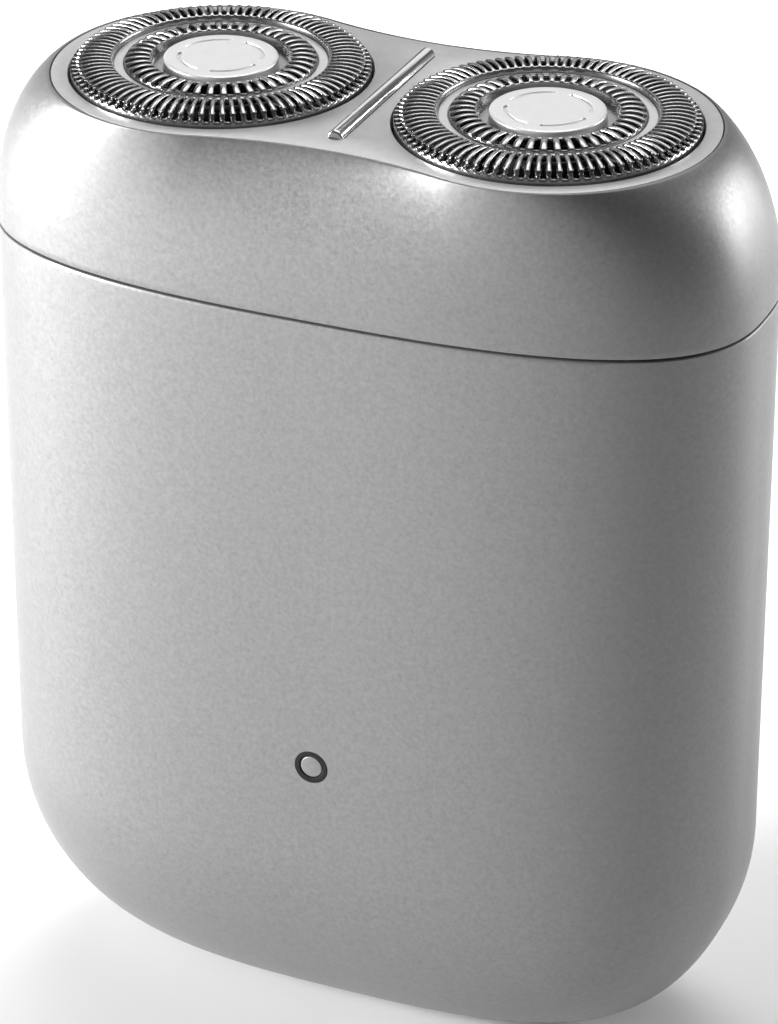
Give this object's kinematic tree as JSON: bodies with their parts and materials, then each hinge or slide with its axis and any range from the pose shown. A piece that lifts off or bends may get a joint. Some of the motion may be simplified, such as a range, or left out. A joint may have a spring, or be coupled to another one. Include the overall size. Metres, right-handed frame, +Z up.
{
  "type": "electric shaver",
  "caption": "Compact rotary travel shaver: satin metal handle with push button, lift-off head carrying floating slotted guards over spinning cutters.",
  "frame": {"origin": "middle of the flat base", "axes": "+Z up from base to heads, front with the button faces -Y, +X along the width"},
  "size_m": [0.058, 0.0266, 0.0732],
  "materials": {
    "housing_metal": "bead-blasted satin silver",
    "plate_metal": "pale fine satin",
    "guard_steel": "dark ground steel with bright ribs",
    "cap_metal": "bright satin",
    "bar_steel": "polished",
    "blade_steel": "ground edges",
    "black_rubber": "matt",
    "black_plastic": "fine grain",
    "grey_plastic": "fine grain",
    "white_plastic": "moulded acetal",
    "button_metal": "satin",
    "port_steel": "drawn shell",
    "steel": "plain",
    "spring_steel": "drawn wire",
    "board_green": "solder mask",
    "chip_black": "moulded",
    "led_clear": "diffuse lens",
    "cell_wrap": "shrink sleeve",
    "nickel": "strip",
    "brass": "turned",
    "lead_sleeve": "silicone sleeve",
    "magnet_nickel": "plated"
  },
  "bodies": {
    "handle": {"main_housing": "housing_metal", "port_bezel": "black_plastic", "usb_c_shell": "port_steel", "usb_c_tongue": "black_plastic", "port_board": "board_green", "button_seal": "black_rubber", "power_switch": "black_plastic", "circuit_board": "board_green", "board_chips": "chip_black", "board_screws": "steel", "charge_led": "led_clear", "battery_cell": "cell_wrap", "battery_tabs": "nickel", "battery_leads": "lead_sleeve", "motor_leads": "lead_sleeve", "motor_can": "steel", "motor_end_cap": "white_plastic", "motor_terminals": "brass", "motor_screws": "steel", "gear_plate": "grey_plastic", "inner_chassis": "grey_plastic", "chassis_deck": "black_plastic", "deck_seal": "black_rubber", "deck_screws": "steel", "handle_magnets": "magnet_nickel", "left_gear_axle": "steel", "right_gear_axle": "steel", "left_spindle_seal": "black_rubber", "right_spindle_seal": "black_rubber"},
    "rotor": {"motor_shaft": "steel", "motor_armature": "steel", "drive_pinion": "brass"},
    "button": {"power_button": "button_metal"},
    "head": {"head_housing": "housing_metal", "head_plate": "plate_metal", "skin_guide_bar": "bar_steel", "cutter_retainer": "black_plastic", "retainer_screws": "steel", "head_magnets": "magnet_nickel", "left_guard_spring": "spring_steel", "right_guard_spring": "spring_steel"},
    "left_gear": {"left_drive_gear": "white_plastic", "left_spindle_spring": "spring_steel"},
    "left_spindle_body": {"left_spindle": "white_plastic"},
    "left_guard": {"left_foil_guard": "guard_steel", "left_guard_cap": "cap_metal", "left_guard_collar": "black_plastic"},
    "left_cutter": {"left_cutter_blades": "blade_steel", "left_cutter_carrier": "white_plastic"},
    "right_gear": {"right_drive_gear": "white_plastic", "right_spindle_spring": "spring_steel"},
    "right_spindle_body": {"right_spindle": "white_plastic"},
    "right_guard": {"right_foil_guard": "guard_steel", "right_guard_cap": "cap_metal", "right_guard_collar": "black_plastic"},
    "right_cutter": {"right_cutter_blades": "blade_steel", "right_cutter_carrier": "white_plastic"}
  },
  "joints": [
    {"name": "button_press", "type": "slide", "parent": "handle", "child": "button", "axis": [0, 1, 0], "range_m": [0, 0.0004], "stiffness_N_per_m": 3000, "springref_m": -0.0002},
    {"name": "head_release", "type": "slide", "parent": "handle", "child": "head", "axis": [0, 0, 1], "range_m": [0, 0.02]},
    {"name": "motor_spin", "type": "hinge", "parent": "handle", "child": "rotor", "pos_m": [0, 0, 0.05], "axis": [0, 0, 1], "continuous": true},
    {"name": "left_gear_spin", "type": "hinge", "parent": "handle", "child": "left_gear", "pos_m": [-0.0125, 0, 0.056], "axis": [0, 0, 1], "continuous": true},
    {"name": "left_spindle_slide", "type": "slide", "parent": "left_gear", "child": "left_spindle_body", "axis": [0, 0, -1], "range_m": [0, 0.001], "stiffness_N_per_m": 400, "springref_m": -0.0005, "deforming": ["left_spindle_spring"]},
    {"name": "left_guard_float", "type": "slide", "parent": "head", "child": "left_guard", "axis": [0, 0, -1], "range_m": [0, 0.001], "stiffness_N_per_m": 600, "springref_m": -0.0008, "deforming": ["left_guard_spring"]},
    {"name": "left_cutter_spin", "type": "hinge", "parent": "left_guard", "child": "left_cutter", "pos_m": [-0.0125, 0, 0.068], "axis": [0, 0, 1], "continuous": true},
    {"name": "right_gear_spin", "type": "hinge", "parent": "handle", "child": "right_gear", "pos_m": [0.0125, 0, 0.056], "axis": [0, 0, 1], "continuous": true},
    {"name": "right_spindle_slide", "type": "slide", "parent": "right_gear", "child": "right_spindle_body", "axis": [0, 0, -1], "range_m": [0, 0.001], "stiffness_N_per_m": 400, "springref_m": -0.0005, "deforming": ["right_spindle_spring"]},
    {"name": "right_guard_float", "type": "slide", "parent": "head", "child": "right_guard", "axis": [0, 0, -1], "range_m": [0, 0.001], "stiffness_N_per_m": 600, "springref_m": -0.0008, "deforming": ["right_guard_spring"]},
    {"name": "right_cutter_spin", "type": "hinge", "parent": "right_guard", "child": "right_cutter", "pos_m": [0.0125, 0, 0.068], "axis": [0, 0, 1], "continuous": true}
  ],
  "couplings": [
    {"joint": "left_gear_spin", "follows": "motor_spin", "ratio": -0.38889},
    {"joint": "left_cutter_spin", "follows": "motor_spin", "ratio": -0.38889},
    {"joint": "right_gear_spin", "follows": "motor_spin", "ratio": -0.38889},
    {"joint": "right_cutter_spin", "follows": "motor_spin", "ratio": -0.38889},
    {"joint": "left_spindle_slide", "follows": "left_guard_float", "ratio": 1},
    {"joint": "right_spindle_slide", "follows": "right_guard_float", "ratio": 1}
  ]
}
